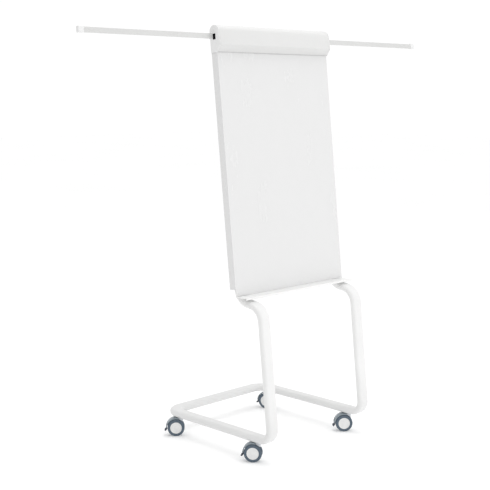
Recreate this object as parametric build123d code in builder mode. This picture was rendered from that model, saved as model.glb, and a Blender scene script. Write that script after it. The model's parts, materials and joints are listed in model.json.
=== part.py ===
from build123d import *
import math
import os

# Mobile flipchart easel: a swan-neck frame of flat-oval tube on four braked castors carries a
# steel writing panel, a pen tray and a header rail with a pad clamp and two sliding side arms.
# Millimetres.  +X runs to the viewer's right along the board, +Y points backwards, +Z is up.
# The origin is on the floor, in the middle of the overall width and depth.

# ---------------------------------------------------------------- driving dimensions
OVERALL_DEPTH = 706.0       # front of the foot bends to the back of the rear bar
TILT = 6.2                  # backward lean of the legs and the board, degrees
FIT = 0.3                   # clearance between pieces that move past each other
RUN = 0.05                  # radial clearance of a running fit

TUBE_W = 60.0               # flat-oval tube, wide way
TUBE_T = 30.0               # flat-oval tube, narrow way
TUBE_WALL = 2.0
FRAME_X = 305.0             # tube centre line from the middle of the easel
RAIL_Z = 105.0              # height of the base rails' axis
FOOT_R = 55.0               # bend from rail to leg
CORNER_R = 65.0             # plan bend at the rear corners
SWAN_R = 70.0               # both bends of the swan neck
SWAN_SLOPE = 6.0            # rise of the run between them, degrees
SWAN_Z = 689.0              # height of the middle of that run
RAIL_JOINT_Y = 180.0        # where the side tubes meet the rear bar
SLEEVE_L = 60.0

PANEL_W = 700.0
PANEL_FROM_LEG = 111.3      # writing face behind the leg axis, square to the board
PANEL_FOOT_Z = 722.0        # lower edge of the writing face
PANEL_DEPTH = 35.0
SKIN_T = 1.0
COLUMN_P = 17.0             # column axis behind the writing face
CROSS_P = 25.0              # cross members' axis behind the writing face
CROSS_ROWS = (250.0, 850.0)     # and above the board's lower edge
BOARD_TOP = 1156.0          # top of the header above the lower edge, along the board
BOX_FOOT = 30.0             # underside of the panel box above the lower edge
HEADER_H = 116.0            # the header rail covers this much of the board's face
CORE_T = 10.0

TRAY_DEPTH = 62.0
TRAY_T = 1.5
TRAY_LIP = 6.0

ARM_H = 21.5
ARM_D = 12.0
ARM_L = 702.0
ARM_WALL = 1.4
ARM_REACH = 1044.0          # tip of an extended arm from the middle
ARM_CAP_L = 26.0
TIP_H = 25.0
TIP_D = 15.0
LINER_T = 1.2
LINER_L = 40.0
COLLAR_T = 1.5              # collars of the end caps around the arms
COLLAR_L = 5.0
CHANNEL_WALL = 2.0
CHANNEL_WEB = 1.5
FRONT_CHANNEL_DROP = 48.6   # channel centres below the top of the header
REAR_CHANNEL_DROP = 44.1

CAP_T = 3.0                 # header end caps
CLAMP_T = 2.2
CROWN_R = 27.75             # the header's round top turns about the clamp's hinge
HINGE_P = PANEL_DEPTH - CROWN_R     # clamp hinge axis behind the writing face
HINGE_R = 2.5
KNUCKLE_R = 5.5
CLAMP_KNEE_P = -26.5        # the clamp's face leans out to here
CLAMP_KNEE_DROP = 86.0
CLAMP_FOOT_DROP = 113.0
CLAMP_FOOT_P = -3.6
CLAMP_EDGE = 78             # the clamp's skin ends here on the crown, degrees above the rear
WEB_ANGLE = 135             # direction of the clamp's web from the knuckle, degrees
REAR_LIP = 42               # the fixed skin of the crown ends here, degrees above the rear
SEAL_START = 36             # the lip under the joint of both skins, degrees above the rear
SEAL_END = 88
LUG_X = 120.0
LUG_W = 8.0
KNUCKLE_GAP_X = 126.0       # gaps in the knuckle for a lug and a spring
KNUCKLE_GAP_W = 28.0
SPRING_X = 131.0
SPRING_WIRE = 0.6           # radius of the wire
SPRING_COIL_R = 4.0
SPRING_PITCH = 1.6
SPRING_TURNS = 4
SPRING_REAR_LEG = 12.0
SPRING_FRONT_LEG = 24.0

HOOK_X = 200.0
HOOK_TRAVEL = 50.0
HOOK_DROP = 82.0
HOOK_R = 3.5
HOOK_FRONT = 14.0           # the peg stands out this far in front of the board
HOOK_FLANGE_R = 7.0
HOOK_NECK = 6.0             # square neck that runs in the slot
HOOK_NUT_W = 24.0
HOOK_NUT_H = 14.0
SCREW_R = 2.0
HEADER_SCREWS = (86.0, 104.0)   # below the top of the header, into each column
COVER_SCREW_STEP = 200.0        # between the screws in a row of the rear cover
SCREW_HEAD_R = 4.0
SCREW_HEAD_H = 2.2

WHEEL_R = 40.0
HUB_R = 27.0
WHEEL_T = 13.0
WHEEL_OUT = 20.0            # outer wheel face from the middle of the castor
TRAIL = 20.0                # axle behind the swivel axis
AXLE_R = 3.0
PIN_R = 4.0
THREAD_R = 5.0
SOCKET_R = 9.0
SOCKET_L = 24.0
THREAD_L = 22.0
NUT_R = 9.8
HOOD_R = 44.5               # middle of the hood's wall
HOOD_T = 5.0
HOOD_HALF = 17.0
HOOD_START = 30             # the hood's ends, degrees above the trailing side of the axle
HOOD_END = 102
CHEEK_START = 5             # its two cheeks reach lower and hold the pedal's pin
CHEEK_IN = 8.0
HEAD_R = 13.0
HEAD_TOP = 87.6
BOSS_R = 6.5                # bearing of the castor pin
BOSS_FOOT = 46.0
BOSS_TOP = 72.0
PEDAL_ANGLE = 8.0           # pedal pin, degrees above the axle on the trailing side
PEDAL_PIN_R = 1.25
PEDAL_HALF = 6.6            # the pedal's body fits between the wheels
PEDAL_TIP_HALF = 11.0
PEDAL_TIP_R = 4.2
CASTORS = {                 # name: (stem x, stem y, heading of the trail in degrees)
    "front_left": (-FRAME_X, -252.0, 127.0),
    "front_right": (FRAME_X, -252.0, 137.0),
    "rear_left": (-FRAME_X, 256.0, 138.0),
    "rear_right": (FRAME_X, 256.0, 113.0),
}

# ---------------------------------------------------------------- derived places
COS = math.cos(math.radians(TILT))
SIN = math.sin(math.radians(TILT))
HALF_W = PANEL_W / 2
UP = Vector(0, SIN, COS)            # up along the board
REAR = Vector(0, COS, -SIN)         # square into the board, from front to back
INNER_W = TUBE_W - 2 * TUBE_WALL
INNER_T = TUBE_T - 2 * TUBE_WALL
RAIL_BOTTOM = RAIL_Z - TUBE_T / 2

foot_centre = Vector(0, -OVERALL_DEPTH / 2 + FOOT_R + TUBE_T / 2, RAIL_Z + FOOT_R)
leg_foot = foot_centre - REAR * FOOT_R
neck_offset = PANEL_FROM_LEG + COLUMN_P
turn = math.radians(90 - TILT - SWAN_SLOPE)
neck_run = (neck_offset - 2 * SWAN_R * (1 - math.cos(turn))) / math.sin(turn)
neck_dir = Vector(0, math.cos(math.radians(SWAN_SLOPE)), math.sin(math.radians(SWAN_SLOPE)))
neck_normal = Vector(0, -neck_dir.Z, neck_dir.Y)


def on_leg(z):
    """Point of the leg axis at height z."""
    return leg_foot + UP * ((z - leg_foot.Z) / UP.Z)


# the middle of the swan neck is halfway between the leg axis and the column axis
neck_middle = on_leg(SWAN_Z) + REAR * (neck_offset / 2)
neck_middle = neck_middle + UP * ((SWAN_Z - neck_middle.Z) / UP.Z)
neck_start = neck_middle - neck_dir * (neck_run / 2)
neck_end = neck_middle + neck_dir * (neck_run / 2)
low_centre = neck_start - neck_normal * SWAN_R
high_centre = neck_end + neck_normal * SWAN_R
leg_top = low_centre - REAR * SWAN_R
column_foot = high_centre + REAR * SWAN_R

board_origin = on_leg(PANEL_FOOT_Z) + REAR * PANEL_FROM_LEG
board_origin = board_origin + UP * ((PANEL_FOOT_Z - board_origin.Z) / UP.Z)
column_top = BOARD_TOP - 72.0
tray_top = PANEL_FOOT_Z - 2.0
tray_under = tray_top - TRAY_T
channel_h = ARM_H + 2 * (LINER_T + FIT)
channel_d = ARM_D + 2 * (LINER_T + FIT)
front_channel = (CHANNEL_WALL + channel_d / 2, BOARD_TOP - FRONT_CHANNEL_DROP)
rear_channel = (front_channel[0] + channel_d + CHANNEL_WEB, BOARD_TOP - REAR_CHANNEL_DROP)
hinge_q = BOARD_TOP - CROWN_R
clamp_foot_q = BOARD_TOP - CLAMP_FOOT_DROP
skin_top = BOARD_TOP - HEADER_H
cover_screws = [(step * COVER_SCREW_STEP, row) for step in (-1, 0, 1) for row in CROSS_ROWS]
header_screws = [(x, BOARD_TOP - drop) for x in (-FRAME_X, FRAME_X) for drop in HEADER_SCREWS]


def board_point(x, p, q):
    """Point x along the board, p behind the writing face and q up from its lower edge."""
    return board_origin + REAR * p + UP * q + Vector(x, 0, 0)


def section(x):
    """Plane across the board at x: local x runs backwards, local y runs up the board."""
    return Plane(origin=board_point(x, 0, 0), x_dir=REAR, z_dir=(1, 0, 0))


def layer(p):
    """Plane parallel to the writing face, p behind it, facing the viewer."""
    return Plane(origin=board_point(0, p, 0), x_dir=(1, 0, 0), z_dir=-REAR)


def deck(q):
    """Plane across the board's height at q: local x runs along the board, local y backwards."""
    return Plane(origin=board_point(0, 0, q), x_dir=(1, 0, 0), z_dir=UP)


def crown_point(angle, radius):
    """Point of the header's section at an angle above the rear and a radius from the hinge axis."""
    a = math.radians(angle)
    return (HINGE_P + radius * math.cos(a), hinge_q + radius * math.sin(a))


def crown_strip(start, end, outer, thick):
    """Face of a strip around the hinge axis, from start to end degrees above the rear."""
    middle = (start + end) / 2
    inner = outer - thick
    edge = Wire([
        Edge.make_three_point_arc(*[crown_point(a, outer) for a in (start, middle, end)]),
        Edge.make_line(crown_point(end, outer), crown_point(end, inner)),
        Edge.make_three_point_arc(*[crown_point(a, inner) for a in (end, middle, start)]),
        Edge.make_line(crown_point(start, inner), crown_point(start, outer))])
    return Face(edge)


def save(piece, name):
    piece.part.label = name
    export_step(piece.part, f"parts/{name}.step")


notch_low = board_point(0, SKIN_T + 0.2, (tray_under - 0.2 - board_origin.Z) / UP.Z)
notch_high = board_point(0, SKIN_T + 0.2, BOX_FOOT + 60)

os.makedirs("parts", exist_ok=True)

# ---------------------------------------------------------------- frame tubes
for side, x in (("left", -FRAME_X), ("right", FRAME_X)):
    shift = Vector(x, 0, 0)
    rail_end = Vector(x, RAIL_JOINT_Y, RAIL_Z)
    foot_bottom = foot_centre - Vector(0, 0, FOOT_R) + shift
    foot_mid = Vector(0, -math.cos(math.radians(45 - TILT / 2)), -math.sin(math.radians(45 - TILT / 2)))
    half_turn = (90 - TILT + SWAN_SLOPE) / 2
    neck_mid = Vector(0, math.cos(math.radians(half_turn)), math.sin(math.radians(half_turn)))
    bulge = Vector(0, -neck_mid.Z, neck_mid.Y)
    with BuildPart() as side_tube:
        with BuildLine() as tube_path:
            Line(rail_end, foot_bottom)
            ThreePointArc(foot_bottom, foot_centre + foot_mid * FOOT_R + shift, leg_foot + shift)
            Line(leg_foot + shift, leg_top + shift)
            ThreePointArc(leg_top + shift, low_centre + bulge * SWAN_R + shift, neck_start + shift)
            Line(neck_start + shift, neck_end + shift)
            ThreePointArc(neck_end + shift, high_centre - bulge * SWAN_R + shift, column_foot + shift)
            Line(column_foot + shift, board_point(x, COLUMN_P, column_top))
        with BuildSketch(Plane(origin=rail_end, x_dir=(1, 0, 0), z_dir=(0, -1, 0))):
            SlotOverall(TUBE_W, TUBE_T)
            SlotOverall(INNER_W, INNER_T, mode=Mode.SUBTRACT)
        sweep(path=tube_path.wires()[0])
        with BuildSketch(Plane.XY.offset(RAIL_BOTTOM - 1)):
            with Locations((x, CASTORS["front_" + side][1])):
                Circle(SOCKET_R)
        extrude(amount=TUBE_WALL + 2, mode=Mode.SUBTRACT)
        # the upper bend is notched in front, where the tray and the panel's skirt pass through
        with BuildSketch(Plane(origin=(x, 0, 0), x_dir=(0, 1, 0), z_dir=(1, 0, 0))):
            Polygon(
                (notch_low.Y, notch_low.Z), (notch_high.Y, notch_high.Z),
                (notch_low.Y - TRAY_DEPTH, notch_high.Z), (notch_low.Y - TRAY_DEPTH, notch_low.Z), align=None)
        extrude(amount=TUBE_W, both=True, mode=Mode.SUBTRACT)
        with BuildSketch(layer(PANEL_DEPTH)):
            with Locations(*header_screws):
                Circle(SCREW_R)
        extrude(amount=6.0, mode=Mode.SUBTRACT)
    save(side_tube, f"{side}_side_tube")

bar_y = OVERALL_DEPTH / 2 - TUBE_W / 2
with BuildPart() as rear_bar:
    with BuildLine(Plane.XY.offset(RAIL_Z)) as bar_path:
        FilletPolyline(
            (-FRAME_X, RAIL_JOINT_Y), (-FRAME_X, bar_y), (FRAME_X, bar_y), (FRAME_X, RAIL_JOINT_Y),
            radius=CORNER_R)
    with BuildSketch(Plane(origin=(-FRAME_X, RAIL_JOINT_Y, RAIL_Z), x_dir=(1, 0, 0), z_dir=(0, 1, 0))):
        SlotOverall(TUBE_W, TUBE_T)
        SlotOverall(INNER_W, INNER_T, mode=Mode.SUBTRACT)
    sweep(path=bar_path.wires()[0])
    with BuildSketch(Plane.XY.offset(RAIL_BOTTOM - 1)):
        with Locations(CASTORS["rear_left"][:2], CASTORS["rear_right"][:2]):
            Circle(SOCKET_R)
    extrude(amount=TUBE_WALL + 2, mode=Mode.SUBTRACT)
save(rear_bar, "rear_bar")

with BuildPart() as joint_sleeves:
    with BuildSketch(Plane(origin=(0, RAIL_JOINT_Y, RAIL_Z), x_dir=(1, 0, 0), z_dir=(0, -1, 0))):
        with Locations((-FRAME_X, 0), (FRAME_X, 0)):
            SlotOverall(INNER_W, INNER_T)
            SlotOverall(INNER_W - 6, INNER_T - 6, mode=Mode.SUBTRACT)
    extrude(amount=SLEEVE_L / 2, both=True)
save(joint_sleeves, "joint_sleeves")

with BuildPart() as cross_members:
    with BuildSketch(section(-FRAME_X + 20)):
        with Locations(*[(CROSS_P, row) for row in CROSS_ROWS]):
            Rectangle(18, 30)
            Rectangle(15, 27, mode=Mode.SUBTRACT)
    extrude(amount=2 * FRAME_X - 40)
    with BuildSketch(deck(CROSS_ROWS[0] - 50)):
        with Locations((-FRAME_X, COLUMN_P), (FRAME_X, COLUMN_P)):
            SlotOverall(TUBE_W, TUBE_T)
    extrude(amount=CROSS_ROWS[1] - CROSS_ROWS[0] + 100, mode=Mode.SUBTRACT)
    with BuildSketch(layer(PANEL_DEPTH)):
        with Locations(*cover_screws):
            Circle(SCREW_R)
    extrude(amount=6.0, mode=Mode.SUBTRACT)
save(cross_members, "cross_members")

with BuildPart() as column_plugs:
    for x in (-FRAME_X, FRAME_X):
        with BuildSketch(deck(column_top - 18)):
            with Locations((x, COLUMN_P)):
                SlotOverall(INNER_W, INNER_T)
        extrude(amount=18)
        with BuildSketch(deck(column_top)):
            with Locations((x, COLUMN_P)):
                SlotOverall(TUBE_W, TUBE_T)
        extrude(amount=2.5)
save(column_plugs, "column_plugs")

# ---------------------------------------------------------------- writing panel
with BuildPart() as writing_panel:
    with BuildSketch(layer(0)):
        with Locations((0, skin_top / 2)):
            Rectangle(PANEL_W, skin_top)
    extrude(amount=-SKIN_T)
    with BuildSketch(deck(BOX_FOOT)):
        for edge in (-1, 1):
            with Locations((edge * (HALF_W - SKIN_T / 2), PANEL_DEPTH / 2)):
                Rectangle(SKIN_T, PANEL_DEPTH)
    extrude(amount=skin_top - BOX_FOOT)
    with BuildSketch(deck(BOX_FOOT)):
        with Locations((0, PANEL_DEPTH / 2)):
            Rectangle(PANEL_W, PANEL_DEPTH)
        with Locations((-FRAME_X, COLUMN_P), (FRAME_X, COLUMN_P)):
            SlotOverall(TUBE_W + 1, TUBE_T + 0.8, mode=Mode.SUBTRACT)
    extrude(amount=SKIN_T)
    side_edges = writing_panel.edges().filter_by(Axis(board_origin, UP))
    front_edges = side_edges.filter_by(lambda e: abs(abs(e.center().X) - HALF_W) < 0.1)
    front_edges = front_edges.filter_by(lambda e: (e.center() - board_origin).dot(REAR) < 0.1)
    fillet(front_edges, radius=SKIN_T * 0.9)
save(writing_panel, "writing_panel")

with BuildPart() as core_board:
    with BuildSketch(layer(SKIN_T)):
        with Locations((0, (BOX_FOOT + skin_top) / 2)):
            Rectangle(2 * (FRAME_X - TUBE_W / 2) - 10, skin_top - BOX_FOOT - 10)
    extrude(amount=-CORE_T)
save(core_board, "core_board")

with BuildPart() as rear_cover:
    with BuildSketch(layer(PANEL_DEPTH)):
        with Locations((0, (BOX_FOOT + skin_top) / 2 + SKIN_T / 2)):
            RectangleRounded(PANEL_W - 2 * SKIN_T - 0.6, skin_top - BOX_FOOT - SKIN_T - 0.6, 3)
        with Locations(*cover_screws):
            Circle(SCREW_R, mode=Mode.SUBTRACT)
    extrude(amount=SKIN_T)
save(rear_cover, "rear_cover")

tray_y = board_origin.Y
with BuildPart() as pen_tray:
    with BuildSketch(Plane(origin=(-HALF_W, 0, 0), x_dir=(0, 1, 0), z_dir=(1, 0, 0))):
        with BuildLine():
            front = tray_y - TRAY_DEPTH
            stand = board_point(0, SKIN_T + 0.2, BOX_FOOT - 2)
            back = board_point(0, SKIN_T + 0.2, -3.0)
            outline = FilletPolyline(
                (front, tray_top - TRAY_LIP), (front, tray_top + 2.5),
                (front + 5, tray_top + 2.5), (front + 11, tray_top),
                (back.Y, tray_top), (stand.Y, stand.Z), radius=1.8)
            offset(outline, amount=TRAY_T, side=Side.RIGHT)
        make_face()
    extrude(amount=PANEL_W)
    with BuildSketch(layer(SKIN_T)):
        with Locations((-FRAME_X, 0), (FRAME_X, 0)):
            Rectangle(TUBE_W + 2, 2 * BOX_FOOT)
    extrude(amount=-PANEL_DEPTH, mode=Mode.SUBTRACT)
save(pen_tray, "pen_tray")

# ---------------------------------------------------------------- header rail
rear_wall = 2.2
shelf_q = rear_channel[1] + channel_h / 2 + CHANNEL_WALL
front_shelf_q = front_channel[1] + channel_h / 2 + CHANNEL_WALL
block_foot = front_channel[1] - channel_h / 2 - CHANNEL_WALL
wall_foot = skin_top + 0.2
with BuildPart() as header_rail:
    with BuildSketch(section(-HALF_W)):
        with Locations((PANEL_DEPTH / 2, (block_foot + front_shelf_q) / 2)):
            Rectangle(PANEL_DEPTH, front_shelf_q - block_foot)
        rear_half = rear_channel[0] - channel_d / 2 - CHANNEL_WEB
        with Locations(((rear_half + PANEL_DEPTH) / 2, (block_foot + shelf_q) / 2)):
            Rectangle(PANEL_DEPTH - rear_half, shelf_q - block_foot)
        with Locations(front_channel, rear_channel):
            Rectangle(channel_d, channel_h, mode=Mode.SUBTRACT)
        with Locations((CHANNEL_WALL / 2, (wall_foot + block_foot) / 2)):
            Rectangle(CHANNEL_WALL, block_foot - wall_foot)
        with Locations((PANEL_DEPTH - rear_wall / 2, (wall_foot + block_foot) / 2)):
            Rectangle(rear_wall, block_foot - wall_foot)
        with Locations((PANEL_DEPTH - rear_wall / 2, (shelf_q + hinge_q) / 2)):
            Rectangle(rear_wall, hinge_q - shelf_q)
        add(crown_strip(0, REAR_LIP, CROWN_R, rear_wall))
        add(crown_strip(SEAL_START, REAR_LIP, CROWN_R, 4.2))
        add(crown_strip(SEAL_START, SEAL_END, CROWN_R - CLAMP_T - 0.4, 1.6))
    extrude(amount=PANEL_W)
    # slots for the pad hooks
    with BuildSketch(layer(-1)):
        with Locations((-HOOK_X, BOARD_TOP - HOOK_DROP), (HOOK_X, BOARD_TOP - HOOK_DROP)):
            SlotOverall(2 * HOOK_TRAVEL + HOOK_NECK + 7, HOOK_NECK + 2 * FIT)
    extrude(amount=-4.0, mode=Mode.SUBTRACT)
    # lugs that carry the hinge rod
    for x in (-LUG_X, LUG_X):
        with BuildSketch(section(x - LUG_W / 2)):
            with Locations((HINGE_P, hinge_q)):
                Circle(KNUCKLE_R)
            with Locations((HINGE_P, (front_shelf_q + hinge_q) / 2)):
                Rectangle(2 * KNUCKLE_R, hinge_q - front_shelf_q)
            with Locations((HINGE_P, hinge_q)):
                Circle(HINGE_R, mode=Mode.SUBTRACT)
        extrude(amount=LUG_W)
    with BuildSketch(layer(PANEL_DEPTH)):
        with Locations(*header_screws):
            Circle(SCREW_R)
    extrude(amount=6.0, mode=Mode.SUBTRACT)
save(header_rail, "header_rail")

with BuildPart() as hinge_rod:
    with BuildSketch(section(-HALF_W - CAP_T + 1)):
        with Locations((HINGE_P, hinge_q)):
            Circle(HINGE_R)
    extrude(amount=PANEL_W + 2 * CAP_T - 2)
save(hinge_rod, "hinge_rod")

# ---------------------------------------------------------------- end caps of the header
# a dark sleeve shows in the open end of the channel that the other side's arm runs in
sleeve_front = {"left": front_channel[0] - channel_d / 2 - 1.5, "right": rear_channel[0] - channel_d / 2}
sleeve_rear = {"left": front_channel[0] + channel_d / 2 + 1.0, "right": rear_channel[0] + channel_d / 2}
sleeve_q = {"left": front_channel[1], "right": rear_channel[1]}
for side, sign in (("left", -1), ("right", 1)):
    arm_channel = rear_channel if side == "left" else front_channel
    with BuildPart() as end_cap:
        with BuildSketch(section(sign * HALF_W)):
            with Locations((HINGE_P, hinge_q)):
                Circle(CROWN_R)
            Polygon(
                (PANEL_DEPTH, skin_top + 0.5), (PANEL_DEPTH, hinge_q), (HINGE_P - CROWN_R, hinge_q),
                (CLAMP_KNEE_P + 0.5, BOARD_TOP - CLAMP_KNEE_DROP), (CLAMP_FOOT_P + 0.1, clamp_foot_q),
                (0, skin_top + 0.5), align=None)
            with Locations(arm_channel):
                Rectangle(ARM_D + 1, ARM_H + 1, mode=Mode.SUBTRACT)
            with Locations(((sleeve_front[side] + sleeve_rear[side]) / 2, sleeve_q[side])):
                Rectangle(sleeve_rear[side] - sleeve_front[side], channel_h, mode=Mode.SUBTRACT)
        extrude(amount=sign * CAP_T)
        with BuildSketch(section(sign * (HALF_W + CAP_T))):
            with Locations(arm_channel):
                RectangleRounded(ARM_D + 1 + 2 * COLLAR_T, ARM_H + 1 + 2 * COLLAR_T, COLLAR_T)
                Rectangle(ARM_D + 1, ARM_H + 1, mode=Mode.SUBTRACT)
        extrude(amount=sign * COLLAR_L)
        with BuildSketch(section(sign * HALF_W)):
            with Locations((HINGE_P, hinge_q)):
                Circle(HINGE_R)
        extrude(amount=sign * (CAP_T - 1), mode=Mode.SUBTRACT)
        with BuildSketch(section(sign * (HALF_W + CAP_T))):
            with Locations((HINGE_P, BOARD_TOP - 17.0)):
                Circle(12.0)
                Circle(10.0, mode=Mode.SUBTRACT)
                Circle(6.5)
        extrude(amount=sign * 0.8)
    save(end_cap, f"{side}_end_cap")

# ---------------------------------------------------------------- pad clamp
clamp_half = HALF_W - 0.8
with BuildPart() as clamp_bar:
    with BuildSketch(section(-clamp_half)):
        Polygon(
            (HINGE_P - CROWN_R, hinge_q), (CLAMP_KNEE_P, BOARD_TOP - CLAMP_KNEE_DROP),
            (CLAMP_FOOT_P, clamp_foot_q), (CLAMP_FOOT_P, clamp_foot_q + CLAMP_T * 1.6),
            (CLAMP_KNEE_P + CLAMP_T, BOARD_TOP - CLAMP_KNEE_DROP + 1),
            (HINGE_P - CROWN_R + CLAMP_T, hinge_q), align=None)
        add(crown_strip(CLAMP_EDGE, 180, CROWN_R, CLAMP_T))
        Polygon(
            crown_point(WEB_ANGLE + 15, KNUCKLE_R - 1), crown_point(WEB_ANGLE - 15, KNUCKLE_R - 1),
            crown_point(WEB_ANGLE - 2, CROWN_R - 1), crown_point(WEB_ANGLE + 2, CROWN_R - 1), align=None)
        with Locations((HINGE_P, hinge_q)):
            Circle(KNUCKLE_R)
            Circle(HINGE_R + RUN, mode=Mode.SUBTRACT)
    extrude(amount=2 * clamp_half)
    for sign in (-1, 1):
        with BuildSketch(section(sign * KNUCKLE_GAP_X)):
            with Locations((HINGE_P, hinge_q)):
                Circle(CROWN_R - CLAMP_T - 1)
        extrude(amount=KNUCKLE_GAP_W / 2, both=True, mode=Mode.SUBTRACT)
save(clamp_bar, "clamp_bar")

with BuildPart() as clamp_grip:
    with BuildSketch(section(-clamp_half)):
        with Locations((-2.1, clamp_foot_q + CLAMP_T)):
            RectangleRounded(3.0, 7.0, 1.2)
    extrude(amount=2 * clamp_half)
save(clamp_grip, "clamp_grip")

# torsion springs beside the lugs: the front leg reaches under the clamp's skin
coil = Helix(SPRING_PITCH, SPRING_PITCH * SPRING_TURNS, SPRING_COIL_R)
with BuildPart() as clamp_springs:
    for x in (-SPRING_X - 3, SPRING_X - 3):
        turns = Plane(origin=board_point(x, HINGE_P, hinge_q), x_dir=UP, z_dir=(1, 0, 0)) * coil
        with BuildLine() as spring_wire:
            Line(turns @ 0 - (turns % 0) * SPRING_REAR_LEG, turns @ 0)
            add(turns)
            Line(turns @ 1, turns @ 1 + (turns % 1) * SPRING_FRONT_LEG)
        with BuildSketch(Plane(origin=spring_wire.line @ 0, z_dir=spring_wire.line % 0)):
            Circle(SPRING_WIRE)
        sweep(path=spring_wire.wires()[0], is_frenet=True)
save(clamp_springs, "clamp_springs")

# ---------------------------------------------------------------- pad hooks
hook_q = BOARD_TOP - HOOK_DROP
for side, sign in (("left", -1), ("right", 1)):
    with BuildPart() as pad_hook:
        with BuildSketch(layer(-HOOK_FRONT)):
            with Locations((sign * HOOK_X, hook_q)):
                Circle(HOOK_R)
        extrude(amount=1.0 - HOOK_FRONT)
        with BuildSketch(layer(-1.8)):
            with Locations((sign * HOOK_X, hook_q)):
                Circle(HOOK_FLANGE_R)
        extrude(amount=-1.5)
        with BuildSketch(layer(-1.0)):
            with Locations((sign * HOOK_X, hook_q)):
                Rectangle(HOOK_NECK, HOOK_NECK)
        extrude(amount=-4.0)
        with BuildSketch(layer(CHANNEL_WALL + FIT)):
            with Locations((sign * HOOK_X, hook_q)):
                RectangleRounded(HOOK_NUT_W, HOOK_NUT_H, 2.0)
        extrude(amount=-2.5)
        fillet(pad_hook.edges().filter_by(GeomType.CIRCLE).sort_by(Axis.Y)[0], radius=1.2)
    save(pad_hook, f"{side}_pad_hook")

# ---------------------------------------------------------------- side arms
for side, sign, channel in (("left", -1, rear_channel), ("right", 1, front_channel)):
    cap_face = sign * (ARM_REACH - ARM_CAP_L)
    with BuildPart() as arm:
        with BuildSketch(section(cap_face)):
            with Locations(channel):
                RectangleRounded(ARM_D, ARM_H, 1.5)
                Rectangle(ARM_D - 2 * ARM_WALL, ARM_H - 2 * ARM_WALL, mode=Mode.SUBTRACT)
        extrude(amount=-sign * ARM_L)
    save(arm, f"{side}_arm")
    with BuildPart() as arm_tip:
        with BuildSketch(section(cap_face)):
            with Locations(channel):
                RectangleRounded(TIP_D, TIP_H, 2.5)
        extrude(amount=sign * ARM_CAP_L)
        fillet(arm_tip.faces().sort_by(Axis.X)[-1 if sign > 0 else 0].edges(), radius=1.5)
        with BuildSketch(section(cap_face)):
            with Locations((channel[0], channel[1] + TIP_H / 2)):
                Rectangle(4.0, 3.0)
        extrude(amount=sign * (ARM_CAP_L - 4))
        with BuildSketch(section(cap_face)):
            with Locations(channel):
                Rectangle(ARM_D - 2 * ARM_WALL, ARM_H - 2 * ARM_WALL)
        extrude(amount=-sign * 18.0)
    save(arm_tip, f"{side}_arm_tip")

# each channel is lined at both ends
with BuildPart() as arm_liners:
    for sign in (-1, 1):
        with BuildSketch(section(sign * HALF_W)):
            with Locations(front_channel, rear_channel):
                Rectangle(channel_d, channel_h)
                Rectangle(ARM_D + 2 * FIT, ARM_H + 2 * FIT, mode=Mode.SUBTRACT)
        extrude(amount=-sign * LINER_L)
    for side, sign, channel in (("left", -1, front_channel), ("right", 1, rear_channel)):
        with BuildSketch(section(sign * HALF_W)):
            with Locations(((sleeve_front[side] + sleeve_rear[side]) / 2, channel[1])):
                Rectangle(sleeve_rear[side] - sleeve_front[side], channel_h)
            with Locations(channel):
                Rectangle(ARM_D + 2 * FIT, ARM_H + 2 * FIT, mode=Mode.SUBTRACT)
        extrude(amount=sign * (CAP_T - 0.5))
save(arm_liners, "arm_liners")

# ---------------------------------------------------------------- screws
with BuildPart() as panel_screws:
    with BuildSketch(layer(PANEL_DEPTH)):
        with Locations(*cover_screws, *header_screws):
            Circle(SCREW_R)
    extrude(amount=5.0)
    with BuildSketch(layer(PANEL_DEPTH)):
        with Locations(*cover_screws, *header_screws):
            Circle(SCREW_HEAD_R)
    extrude(amount=-SCREW_HEAD_H)
    head_rims = panel_screws.edges().filter_by(GeomType.CIRCLE).group_by(Axis(board_origin, REAR))[-1]
    fillet(head_rims, radius=1.2)
save(panel_screws, "panel_screws")

# ---------------------------------------------------------------- castors
with BuildPart() as castor_sockets:
    with BuildSketch(Plane.XY.offset(RAIL_BOTTOM)):
        with Locations(*[place[:2] for place in CASTORS.values()]):
            Circle(SOCKET_R)
            Circle(THREAD_R, mode=Mode.SUBTRACT)
    extrude(amount=SOCKET_L)
save(castor_sockets, "castor_sockets")

with BuildPart() as castor_stems:
    with BuildSketch(Plane.XY.offset(RAIL_BOTTOM)):
        with Locations(*[place[:2] for place in CASTORS.values()]):
            Circle(THREAD_R)
    extrude(amount=THREAD_L)
    with BuildSketch(Plane.XY.offset(HEAD_TOP + FIT)):
        with Locations(*[place[:2] for place in CASTORS.values()]):
            RegularPolygon(NUT_R, 6)
    extrude(amount=RAIL_BOTTOM - HEAD_TOP - FIT)
    with BuildSketch(Plane.XY.offset(52.0)):
        with Locations(*[place[:2] for place in CASTORS.values()]):
            Circle(PIN_R)
    extrude(amount=RAIL_BOTTOM - 52.0)
save(castor_stems, "castor_stems")


def castor_side(place, out):
    """Side plane of a castor: local x trails behind the stem, local y is up, out runs along the axle."""
    x, y, heading = place
    a = math.radians(heading)
    across = Vector(math.sin(a), -math.cos(a), 0)
    return Plane(origin=Vector(x, y, 0) + across * out, x_dir=(math.cos(a), math.sin(a), 0), z_dir=across)


def polar(angle, radius):
    """Point at an angle and radius about the wheel's axle, in a castor's side plane."""
    a = math.radians(angle)
    return (TRAIL + radius * math.cos(a), WHEEL_R + radius * math.sin(a))


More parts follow.
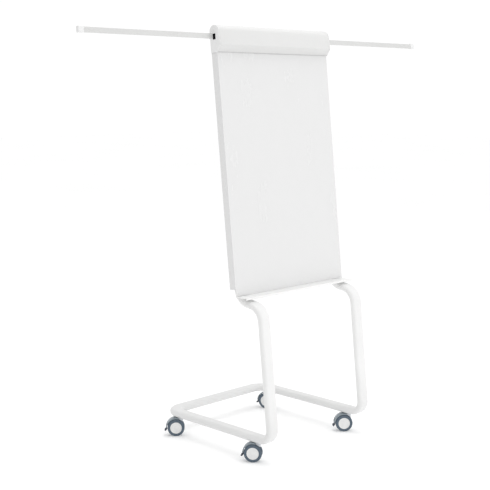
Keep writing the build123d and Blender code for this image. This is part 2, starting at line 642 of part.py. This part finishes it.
axle_place = (TRAIL, WHEEL_R)
pedal_pin = polar(PEDAL_ANGLE, HOOD_R)
pedal_heel = polar(-9, 46.0)
pedal_tip = polar(-13, 50.8)
hood_arc = CenterArc(axle_place, HOOD_R, HOOD_START, HOOD_END - HOOD_START)
cheek_arc = CenterArc(axle_place, HOOD_R, CHEEK_START, 30)
pedal_arc = CenterArc(axle_place, HOOD_R + 0.3, -10, 30)
for name, place in CASTORS.items():
    with BuildPart() as housing:
        with BuildSketch(castor_side(place, 0)):
            SlotArc(hood_arc, HOOD_T)
        extrude(amount=HOOD_HALF, both=True)
        for start in (-HOOD_HALF, CHEEK_IN):
            with BuildSketch(castor_side(place, start)):
                SlotArc(cheek_arc, HOOD_T)
            extrude(amount=HOOD_HALF - CHEEK_IN)
        with BuildSketch(castor_side(place, 0)):
            with Locations(axle_place):
                Circle(HOOD_R - HOOD_T / 2)
            Polygon(
                axle_place, polar(60, 60), polar(100, 70), polar(128, 60), align=None, mode=Mode.INTERSECT)
        extrude(amount=4.0, both=True)
        with BuildSketch(castor_side(place, 0)):
            with Locations(axle_place):
                Circle(9.0)
        extrude(amount=6.4, both=True)
        with BuildSketch(Plane.XY.offset(BOSS_FOOT)):
            with Locations(place[:2]):
                Circle(BOSS_R)
        extrude(amount=BOSS_TOP - BOSS_FOOT)
        with BuildSketch(Plane.XY.offset(BOSS_FOOT)):
            with Locations(place[:2]):
                Circle(PIN_R + RUN)
        extrude(amount=HEAD_TOP - BOSS_FOOT, mode=Mode.SUBTRACT)
        with BuildSketch(castor_side(place, 0)):
            with Locations(axle_place):
                Circle(AXLE_R)
        extrude(amount=8.0, both=True, mode=Mode.SUBTRACT)
        with BuildSketch(castor_side(place, 0)):
            with Locations(pedal_pin):
                Circle(PEDAL_PIN_R + RUN)
        extrude(amount=12.3, both=True, mode=Mode.SUBTRACT)
    save(housing, f"{name}_housing")

    with BuildPart() as head:
        with BuildSketch(Plane.XY.offset(BOSS_TOP - 10)):
            with Locations(place[:2]):
                Circle(HEAD_R)
                Circle(PIN_R + RUN, mode=Mode.SUBTRACT)
        extrude(amount=HEAD_TOP - BOSS_TOP + 10)
        fillet(head.edges().filter_by(GeomType.CIRCLE).sort_by(Axis.Z)[-1], radius=1.0)
        with BuildSketch(castor_side(place, 0)):
            with Locations(axle_place):
                Circle(HOOD_R - HOOD_T / 2)
            SlotArc(hood_arc, HOOD_T)
        extrude(amount=30.0, both=True, mode=Mode.SUBTRACT)
    save(head, f"{name}_swivel_head")

    with BuildPart() as axle:
        with BuildSketch(castor_side(place, 0)):
            with Locations(axle_place):
                Circle(AXLE_R)
        extrude(amount=WHEEL_OUT - 3.3, both=True)
    save(axle, f"{name}_axle")

    for face, out in (("near", -1), ("far", 1)):
        with BuildPart() as tyre:
            with BuildSketch(castor_side(place, out * WHEEL_OUT)):
                with Locations(axle_place):
                    Circle(WHEEL_R)
                    Circle(HUB_R, mode=Mode.SUBTRACT)
            extrude(amount=-out * WHEEL_T)
            rims = tyre.edges().filter_by(lambda e: e.geom_type == GeomType.CIRCLE and e.radius > HUB_R + 1)
            fillet(rims, radius=3.5)
        save(tyre, f"{name}_{face}_tyre")
        with BuildPart() as hub:
            with BuildSketch(castor_side(place, out * (WHEEL_OUT - WHEEL_T))):
                with Locations(axle_place):
                    Circle(HUB_R)
            extrude(amount=out * (WHEEL_T - 0.5))
            with BuildSketch(castor_side(place, out * (WHEEL_OUT - 0.5))):
                with Locations(axle_place):
                    Circle(HUB_R - 4)
                    Circle(8.0, mode=Mode.SUBTRACT)
            extrude(amount=-out * 2.0, mode=Mode.SUBTRACT)
            with BuildSketch(castor_side(place, out * (WHEEL_OUT - WHEEL_T))):
                with Locations(axle_place):
                    Circle(AXLE_R + RUN)
            extrude(amount=out * (WHEEL_T - 3.0), mode=Mode.SUBTRACT)
        save(hub, f"{name}_{face}_hub")

    with BuildPart() as pedal:
        with BuildSketch(castor_side(place, 0)):
            SlotArc(pedal_arc, HOOD_T + 0.4)
            SlotCenterPoint(
                center=((pedal_heel[0] + pedal_tip[0]) / 2, (pedal_heel[1] + pedal_tip[1]) / 2),
                point=pedal_tip, height=8.0)
        extrude(amount=PEDAL_HALF, both=True)
        with BuildSketch(castor_side(place, 0)):
            with Locations(pedal_tip):
                Circle(PEDAL_TIP_R)
        extrude(amount=PEDAL_TIP_HALF, both=True)
        with BuildSketch(castor_side(place, 0)):
            with Locations(pedal_pin):
                Circle(2.5)
        extrude(amount=7.5, both=True)
        with BuildSketch(castor_side(place, 0)):
            with Locations(pedal_pin):
                Circle(PEDAL_PIN_R)
        extrude(amount=12.0, both=True)
    save(pedal, f"{name}_brake_pedal")
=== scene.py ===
import json
import math

import bmesh
import bpy
from mathutils import Matrix, Vector


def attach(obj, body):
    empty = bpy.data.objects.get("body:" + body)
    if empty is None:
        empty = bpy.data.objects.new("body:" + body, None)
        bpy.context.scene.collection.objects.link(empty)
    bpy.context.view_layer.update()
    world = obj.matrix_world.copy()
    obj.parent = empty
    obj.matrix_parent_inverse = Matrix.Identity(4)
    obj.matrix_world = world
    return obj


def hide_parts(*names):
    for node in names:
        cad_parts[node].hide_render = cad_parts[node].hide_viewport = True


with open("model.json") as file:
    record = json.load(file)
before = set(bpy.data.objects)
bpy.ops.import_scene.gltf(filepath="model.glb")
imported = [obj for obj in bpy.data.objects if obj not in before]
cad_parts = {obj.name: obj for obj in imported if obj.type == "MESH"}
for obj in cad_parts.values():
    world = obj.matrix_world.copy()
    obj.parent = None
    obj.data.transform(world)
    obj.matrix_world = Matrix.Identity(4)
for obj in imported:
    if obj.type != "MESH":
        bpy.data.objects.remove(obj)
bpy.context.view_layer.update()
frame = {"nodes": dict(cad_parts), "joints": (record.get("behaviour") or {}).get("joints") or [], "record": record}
nodes = frame["nodes"]
joints = {j["name"]: j for j in frame["joints"]}
CASTORS = ("front_left", "front_right", "rear_left", "rear_right")
MM = 0.001
UPWARD = Vector((0, 0, 1))


# ---------------------------------------------------------------- camera
CAMERA_AT = Vector((-3.4629, -3.3557, 1.585))
CAMERA_YAW = math.radians(44.78)
CAMERA_PITCH = math.radians(8.15)
camera_data = bpy.data.cameras.new("camera")
camera_data.sensor_width = 36.0     # millimetres, as is the lens
camera_data.lens = 77.84
camera_data.clip_end = 100.0
camera = bpy.data.objects.new("camera", camera_data)
bpy.context.scene.collection.objects.link(camera)
look = Vector((
    math.sin(CAMERA_YAW) * math.cos(CAMERA_PITCH),
    math.cos(CAMERA_YAW) * math.cos(CAMERA_PITCH),
    -math.sin(CAMERA_PITCH),
))
camera.location = CAMERA_AT
camera.rotation_euler = look.to_track_quat("-Z", "Y").to_euler()
bpy.context.scene.camera = camera


# ---------------------------------------------------------------- materials
class Shader:
    """A node material under construction, with a Principled shader and object coordinates."""

    def __init__(self, name):
        self.material = bpy.data.materials.new(name)
        self.material.use_nodes = True
        self.tree = self.material.node_tree
        self.bsdf = self.tree.nodes["Principled BSDF"]
        self.place = self.add("ShaderNodeTexCoord").outputs["Object"]

    def add(self, kind, **settings):
        made = self.tree.nodes.new(kind)
        for key, value in settings.items():
            setattr(made, key, value)
        return made

    def wire(self, out, into):
        self.tree.links.new(out, into)

    def stretch(self, scale):
        """The object coordinates scaled by axis."""
        mapping = self.add("ShaderNodeMapping")
        mapping.inputs["Scale"].default_value = scale
        self.wire(self.place, mapping.inputs["Vector"])
        return mapping.outputs["Vector"]

    def grain(self, scale, detail=3.0, roughness=0.5, vector=None):
        made = self.add("ShaderNodeTexNoise")
        made.inputs["Scale"].default_value = scale
        made.inputs["Detail"].default_value = detail
        made.inputs["Roughness"].default_value = roughness
        self.wire(self.place if vector is None else vector, made.inputs["Vector"])
        return made.outputs["Fac"]

    def spread(self, value, low, high, start=0.3, end=0.7):
        made = self.add("ShaderNodeMapRange")
        made.inputs["From Min"].default_value = start
        made.inputs["From Max"].default_value = end
        made.inputs["To Min"].default_value = low
        made.inputs["To Max"].default_value = high
        self.wire(value, made.inputs["Value"])
        return made.outputs["Result"]

    def blend(self, factor, one, two):
        """A mix of two colours, each a tuple or another node's output."""
        made = self.add("ShaderNodeMix", data_type="RGBA")

        def socket(name, kind):
            return next(i for i in made.inputs if i.name == name and i.type == kind)

        for name, colour in (("A", one), ("B", two)):
            if isinstance(colour, tuple):
                socket(name, "RGBA").default_value = (*colour, 1.0)
            else:
                self.wire(colour, socket(name, "RGBA"))
        self.wire(factor, socket("Factor", "VALUE"))
        return next(o for o in made.outputs if o.type == "RGBA")

    def colour(self, out):
        self.wire(out, self.bsdf.inputs["Base Color"])

    def rough(self, out):
        self.wire(out, self.bsdf.inputs["Roughness"])

    def bump(self, height, distance, below=None):
        made = self.add("ShaderNodeBump")
        made.inputs["Distance"].default_value = distance
        made.inputs["Strength"].default_value = 1.0
        self.wire(height, made.inputs["Height"])
        if below is not None:
            self.wire(below, made.inputs["Normal"])
        self.wire(made.outputs["Normal"], self.bsdf.inputs["Normal"])
        return made.outputs["Normal"]


def shade(colour, factor):
    """The colour scaled by a factor, at most white."""
    return tuple(min(1.0, c * factor) for c in colour)


PEEL_DEPTH = 0.00006        # relief of the paint's orange peel, metres


def powder_coat(name, base, rough, peel=700.0, floor_shade_heights=None):
    """White powder paint: orange-peel skin, slow tone drift, light handling marks and, given (low, high)
    heights, painted shade near the floor: darker at the low height, fading out by the high one."""
    s = Shader(name)
    slow = s.grain(6.0, 4.0, 0.6)
    handled = s.grain(38.0, 6.0, 0.65)
    tone = s.blend(s.spread(slow, 0.0, 1.0), shade(base, 0.97), base)
    tone = s.blend(s.spread(handled, 0.0, 0.35, 0.55, 0.8), tone, shade(base, 0.955))
    if floor_shade_heights:
        # painted shade near the floor: the paint darkens towards the bottom, fully below the low height
        height = s.add("ShaderNodeSeparateXYZ")
        s.wire(s.place, height.inputs["Vector"])
        dust_and_shade = s.spread(height.outputs["Z"], 1.0, 0.0, *floor_shade_heights)
        tone = s.blend(dust_and_shade, tone, shade(base, 0.91))
    s.colour(tone)
    s.rough(s.spread(handled, rough - 0.06, rough + 0.08))
    skin = s.bump(s.grain(peel, 2.0, 0.45), PEEL_DEPTH)
    s.bump(s.grain(peel * 0.12, 2.0, 0.5), PEEL_DEPTH * 2.0, below=skin)
    s.bsdf.inputs["Specular IOR Level"].default_value = 0.5
    return s.material


def enamel(name, base):
    """Writing surface: smooth white enamel with faint wiping marks left by a board eraser."""
    s = Shader(name)
    wiped = s.grain(5.0, 6.0, 0.7, s.stretch((1.0, 1.0, 0.35)))
    ghost = s.grain(16.0, 5.0, 0.6, s.stretch((1.0, 0.6, 0.8)))
    tone = s.blend(s.spread(wiped, 0.0, 1.0, 0.2, 0.8), base, shade(base, 0.985))
    s.colour(s.blend(s.spread(ghost, 0.0, 0.16, 0.45, 0.95), tone, shade(base, 0.95)))
    s.rough(s.spread(wiped, 0.22, 0.3, 0.2, 0.8))
    s.bump(s.grain(260.0, 2.0, 0.5), 0.00003)
    s.bsdf.inputs["Coat Weight"].default_value = 0.25
    s.bsdf.inputs["Coat Roughness"].default_value = 0.12
    return s.material


def plastic(name, base, rough, other=None, grain=1800.0, depth=0.00004):
    """Moulded plastic: fine spark-eroded grain, flow tone and rubbed patches."""
    s = Shader(name)
    flow = s.grain(45.0, 3.0, 0.5)
    rubbed = s.grain(160.0, 5.0, 0.6)
    tone = s.blend(s.spread(flow, 0.0, 1.0), base, other or shade(base, 0.9))
    s.colour(s.blend(s.spread(rubbed, 0.0, 0.15, 0.5, 0.8), tone, shade(base, 1.25)))
    s.rough(s.spread(rubbed, rough - 0.06, rough + 0.1))
    s.bump(s.grain(grain, 2.0, 0.5), depth)
    return s.material


def rubber(name, base, dust_and_shade):
    """Tyre or grip rubber: matt, pitted, with dust in the low places."""
    s = Shader(name)
    pits = s.grain(1400.0, 4.0, 0.6)
    dirt = s.grain(90.0, 6.0, 0.65)
    s.colour(s.blend(s.spread(dirt, 0.0, 0.5, 0.45, 0.75), base, dust_and_shade))
    s.rough(s.spread(dirt, 0.5, 0.75))
    s.bump(pits, 0.00008)
    return s.material


def zinc(name, base):
    """Zinc-plated steel with a fine drawn grain."""
    s = Shader(name)
    drawn = s.grain(420.0, 4.0, 0.6, s.stretch((1.0, 1.0, 7.0)))
    bloom = s.grain(60.0, 4.0, 0.6)
    s.colour(s.blend(s.spread(bloom, 0.0, 1.0), base, shade(base, 0.8)))
    s.rough(s.spread(drawn, 0.25, 0.42))
    s.bump(drawn, 0.00003)
    s.bsdf.inputs["Metallic"].default_value = 1.0
    return s.material


def fibreboard(name, base):
    """Raw fibreboard: matted fibres and darker specks."""
    s = Shader(name)
    fibre = s.grain(600.0, 6.0, 0.7, s.stretch((1.0, 0.4, 1.6)))
    clump = s.grain(80.0, 4.0, 0.6)
    tone = s.blend(s.spread(fibre, 0.0, 1.0), base, shade(base, 0.7))
    s.colour(s.blend(s.spread(clump, 0.0, 0.4), tone, shade(base, 1.2)))
    s.rough(s.spread(fibre, 0.8, 0.95))
    s.bump(fibre, 0.0002)
    return s.material


LOOKS = {
    # the frame paint carries painted shade near the floor, below 0.3 m
    "frame_paint": powder_coat("frame_powder_coat", (0.79, 0.79, 0.787), 0.36, floor_shade_heights=(0.12, 0.3)),
    "board_enamel": enamel("board_enamel", (0.725, 0.725, 0.725)),
    "panel_paint": powder_coat("panel_powder_coat", (0.85, 0.85, 0.845), 0.4, 800.0),
    "header_paint": powder_coat("header_powder_coat", (0.70, 0.70, 0.695), 0.38, 900.0),
    "arm_paint": powder_coat("arm_powder_coat", (0.64, 0.64, 0.634), 0.36, 900.0),
    "cap_plastic": plastic("cap_plastic", (0.79, 0.79, 0.79), 0.42, (0.75, 0.75, 0.75)),
    "trim_plastic": plastic("trim_plastic", (0.27, 0.28, 0.3), 0.45),
    # near black: painted shade in the end caps' holes, where the arm channels open
    "liner_plastic": plastic("liner_plastic", (0.022, 0.022, 0.024), 0.5),
    "grip_rubber": rubber("grip_rubber", (0.5, 0.5, 0.5), (0.56, 0.56, 0.55)),
    "tyre_rubber": rubber("tyre_rubber", (0.075, 0.105, 0.14), (0.16, 0.19, 0.22)),
    "hub_plastic": plastic("hub_plastic", (0.77, 0.77, 0.76), 0.34, (0.74, 0.74, 0.74)),
    "hood_plastic": plastic(
        "hood_plastic", (0.22, 0.26, 0.29), 0.26, (0.25, 0.29, 0.32), 900.0, 0.00002),
    "pedal_plastic": plastic("pedal_plastic", (0.035, 0.045, 0.07), 0.38, (0.05, 0.06, 0.085)),
    "head_plastic": plastic("head_plastic", (0.60, 0.62, 0.65), 0.35),
    "zinc_steel": zinc("zinc_steel", (0.62, 0.63, 0.65)),
    "core_fibre": fibreboard("core_fibre", (0.33, 0.24, 0.15)),
}
for sub in frame["record"]["subparts"]:
    for material_slot in nodes[sub["node"]].material_slots:
        material_slot.material = LOOKS[sub["material_slot"]]


# ---------------------------------------------------------------- mesh helpers
SMOOTH_BELOW = math.radians(38)
CORNER_ABOVE = math.radians(35)
FLAT_BELOW = math.radians(0.5)
WELD_WITHIN = 2e-6          # metres
TURNS = 96                  # steps round a turned profile
SLOT_OF = {sub["node"]: sub["material_slot"] for sub in frame["record"]["subparts"]}
BODY_OF = {
    node: body for body, held in frame["record"]["behaviour"]["bodies"].items() for node in held}


def finish_piece(name, mesh, slot, body, *replaced):
    """Turns a mesh in the shared frame into a piece that rides on a body."""
    mesh.validate()
    mesh.shade_smooth()
    mesh.set_sharp_from_angle(angle=SMOOTH_BELOW)
    mesh.materials.append(LOOKS[slot])
    piece = bpy.data.objects.new(name, mesh)
    bpy.context.scene.collection.objects.link(piece)
    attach(piece, body)
    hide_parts(*replaced)


def mesh_of(name, build, placed=Matrix.Identity(4)):
    """A mesh that build(bm) fills, with outward normals, moved by the matrix placed."""
    bm = bmesh.new()
    build(bm)
    bmesh.ops.recalc_face_normals(bm, faces=bm.faces)
    bm.transform(placed)
    mesh = bpy.data.meshes.new(name)
    bm.to_mesh(mesh)
    bm.free()
    return mesh


def on_circle(radius, height, step):
    """The point at a step of TURNS round local z."""
    angle = math.tau * step / TURNS
    return radius * math.cos(angle), radius * math.sin(angle), height


def ring(bm, profile):
    """Adds a ring turned round local z: profile is a closed loop of (radius, height)."""
    rows = [[bm.verts.new(on_circle(r, z, i)) for r, z in profile] for i in range(TURNS)]
    count = len(profile)
    for i in range(TURNS):
        one, two = rows[i], rows[(i + 1) % TURNS]
        for k in range(count):
            bm.faces.new((one[k], two[k], two[(k + 1) % count], one[(k + 1) % count]))


def disc(bm, profile):
    """Adds a disc turned round local z: profile is an open line of (radius, height) that starts
    and ends on the axis."""
    low = bm.verts.new((0, 0, profile[0][1]))
    high = bm.verts.new((0, 0, profile[-1][1]))
    rows = [[bm.verts.new(on_circle(r, z, i)) for i in range(TURNS)] for r, z in profile[1:-1]]
    for i in range(TURNS):
        j = (i + 1) % TURNS
        bm.faces.new((low, rows[0][j], rows[0][i]))
        bm.faces.new((high, rows[-1][i], rows[-1][j]))
        for one, two in zip(rows, rows[1:]):
            bm.faces.new((one[i], one[j], two[j], two[i]))


def softened(node, radius):
    """Replaces a CAD node with a copy whose sharp edges are rounded."""
    bm = bmesh.new()
    bm.from_mesh(nodes[node].data)
    bmesh.ops.remove_doubles(bm, verts=bm.verts, dist=WELD_WITHIN)
    bmesh.ops.dissolve_limit(
        bm, angle_limit=FLAT_BELOW, use_dissolve_boundaries=False, verts=bm.verts, edges=bm.edges)
    corners = [
        e for e in bm.edges
        if len(e.link_faces) == 2 and e.calc_face_angle(0.0) > CORNER_ABOVE]
    bmesh.ops.bevel(
        bm, geom=corners, offset=radius, offset_type="OFFSET", segments=2, profile=0.5,
        affect="EDGES", clamp_overlap=True, harden_normals=False)
    bmesh.ops.triangulate(bm, faces=[f for f in bm.faces if len(f.verts) > 4])
    name = f"{node}_eased"
    mesh = bpy.data.meshes.new(name)
    bm.to_mesh(mesh)
    bm.free()
    finish_piece(name, mesh, SLOT_OF[node], BODY_OF[node], node)


def basis(x_dir, y_dir, z_dir, at):
    """The matrix of a local frame in the shared frame."""
    m = Matrix.Identity(4)
    for column, axis in enumerate((x_dir, y_dir, z_dir)):
        for row in range(3):
            m[row][column] = axis[row]
    m.translation = at
    return m


# ---------------------------------------------------------------- castors
# millimetres: radius, and place along the axle with the wheel's outer face at -20
TYRE_PROFILE = [
    (27.0, -19.4), (28.2, -19.9), (31.0, -20.0), (31.4, -19.6), (32.4, -19.6), (32.8, -20.0),
    (35.4, -19.9), (37.4, -19.3), (38.9, -18.0), (39.7, -16.4), (40.0, -15.0), (40.0, -14.9),
    (39.6, -14.7), (39.6, -14.3), (40.0, -14.1), (40.0, -12.9), (39.6, -12.7), (39.6, -12.3),
    (40.0, -12.1), (39.9, -11.0), (39.4, -9.6), (38.3, -8.2), (36.8, -7.3), (35.0, -7.0),
    (27.0, -7.0)]
HUB_PROFILE = [
    (0.0, -7.0), (3.2, -7.0), (9.0, -7.2), (26.95, -7.2), (26.95, -19.3), (26.4, -19.9),
    (25.6, -20.0), (23.9, -19.9), (23.3, -19.4), (22.9, -18.6), (22.3, -18.2), (21.0, -18.2),
    (15.0, -18.45), (9.2, -18.6), (8.5, -18.7), (8.2, -19.2), (7.6, -19.6), (5.0, -19.9),
    (0.0, -20.0)]
# the two wheels of a castor are mirror images along the axle
FACES = {"near": 1, "far": -1}


def on_face(profile, sign):
    """The profile in metres, on one side of the castor."""
    return [(r * MM, z * sign * MM) for r, z in profile]


for name in CASTORS:
    axle = joints[f"{name}_near_roll"]
    across = Vector(axle["axis"]).normalized()
    trail = UPWARD.cross(across)
    wheel_frame = basis(trail, UPWARD, across, Vector(axle["pos_m"]))
    for face, sign in FACES.items():
        wheel = f"{name}_{face}_wheel"
        mesh = mesh_of("tyre", lambda bm: ring(bm, on_face(TYRE_PROFILE, sign)), wheel_frame)
        finish_piece(
            f"{name}_{face}_tyre_rubber", mesh, "tyre_rubber", wheel, f"{name}_{face}_tyre")
        mesh = mesh_of("hub", lambda bm: disc(bm, on_face(HUB_PROFILE, sign)), wheel_frame)
        finish_piece(f"{name}_{face}_hub_disc", mesh, "hub_plastic", wheel, f"{name}_{face}_hub")


# ---------------------------------------------------------------- folded, drawn and moulded pieces
# the radius of each piece's edges, millimetres
EASED = {
    "header_rail": 0.5, "clamp_bar": 0.5, "left_end_cap": 0.7, "right_end_cap": 0.7,
    "pen_tray": 0.3, "left_arm_tip": 0.5, "right_arm_tip": 0.5, "left_pad_hook": 0.3,
    "right_pad_hook": 0.3, "castor_stems": 0.4}
for name in CASTORS:
    EASED[f"{name}_housing"] = 0.8
    EASED[f"{name}_brake_pedal"] = 0.8
    EASED[f"{name}_swivel_head"] = 0.6
for node, radius in EASED.items():
    softened(node, radius * MM)


# ---------------------------------------------------------------- stage and light
FLOOR_HALF = 30.0           # metres
FLOOR_GLOW = 0.18           # keeps the floor as pale as the studio's backdrop
BRIGHT_SIDE = 1.03          # strength of the backdrop behind the easel and on its right
DIM_SIDE = 0.76             # and on its left


def stage_floor():
    """A plain pale floor."""
    mesh = mesh_of("floor", lambda bm: bmesh.ops.create_grid(
        bm, x_segments=4, y_segments=4, size=FLOOR_HALF))
    s = Shader("floor")
    patch = s.grain(0.6, 3.0)
    s.colour(s.blend(s.spread(patch, 0.0, 1.0), (0.85, 0.85, 0.85), (0.87, 0.87, 0.87)))
    s.bsdf.inputs["Emission Color"].default_value = (1.0, 1.0, 1.0, 1.0)
    s.bsdf.inputs["Emission Strength"].default_value = FLOOR_GLOW
    s.bsdf.inputs["Roughness"].default_value = 0.9
    s.bsdf.inputs["Specular IOR Level"].default_value = 0.0
    mesh.materials.append(s.material)
    floor = bpy.data.objects.new("floor", mesh)
    bpy.context.scene.collection.objects.link(floor)


def softbox(name, at, aim, size, power):
    """A square lamp aimed at a point: size in metres, power in watts."""
    data = bpy.data.lights.new(name, "AREA")
    data.shape = "SQUARE"
    data.size = size
    data.energy = power
    lamp = bpy.data.objects.new(name, data)
    lamp.location = at
    lamp.rotation_euler = (Vector(aim) - Vector(at)).to_track_quat("-Z", "Y").to_euler()
    bpy.context.scene.collection.objects.link(lamp)


def studio():
    """A plain white backdrop all round, a little darker on the left."""
    world = bpy.data.worlds.new("studio")
    world.use_nodes = True
    tree = world.node_tree
    sky = tree.nodes["Background"]
    sky.inputs["Color"].default_value = (1.0, 1.0, 1.0, 1.0)
    direction = tree.nodes.new("ShaderNodeTexCoord")
    split = tree.nodes.new("ShaderNodeSeparateXYZ")
    fade = tree.nodes.new("ShaderNodeMapRange")
    fade.inputs["From Min"].default_value = -1.0
    fade.inputs["From Max"].default_value = 0.2
    fade.inputs["To Min"].default_value = DIM_SIDE
    fade.inputs["To Max"].default_value = BRIGHT_SIDE
    tree.links.new(direction.outputs["Generated"], split.inputs["Vector"])
    tree.links.new(split.outputs["X"], fade.inputs["Value"])
    tree.links.new(fade.outputs["Result"], sky.inputs["Strength"])
    bpy.context.scene.world = world


stage_floor()
studio()
softbox("overhead", (0.0, -0.4, 5.0), (0.0, -0.3, 0.0), 2.5, 50.0)
softbox("front", (1.5, -4.5, 2.2), (0.0, 0.0, 1.0), 2.5, 4.0)
softbox("low", (0.3, -3.2, 0.45), (0.0, 0.0, 0.7), 1.6, 11.0)
bpy.context.scene.view_settings.view_transform = "Standard"
